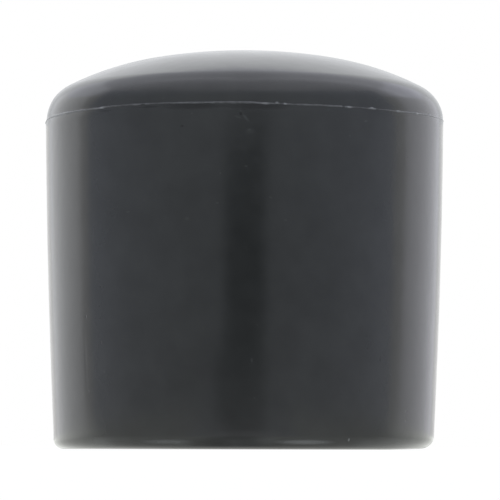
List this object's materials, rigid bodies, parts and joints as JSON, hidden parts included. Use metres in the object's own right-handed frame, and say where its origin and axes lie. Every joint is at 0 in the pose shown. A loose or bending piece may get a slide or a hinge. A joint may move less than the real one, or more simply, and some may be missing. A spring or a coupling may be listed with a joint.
{
  "type": "tube end cap",
  "caption": "Domed push-on end cap for the outside of a round tube: bowed side wall, rounded shoulder, shallow crown and a straight blind socket.",
  "frame": {"origin": "centre of the mouth, in the plane of the rim that the cap stands on", "axes": "+Z along the socket's axis, from the mouth up to the crown; X and Y are free, because the cap is round"},
  "size_m": [0.03, 0.03, 0.0299],
  "materials": {
    "cap_plastic": "as moulded, satin gloss"
  },
  "bodies": {
    "root": {"end_cap": "cap_plastic"}
  },
  "joints": []
}
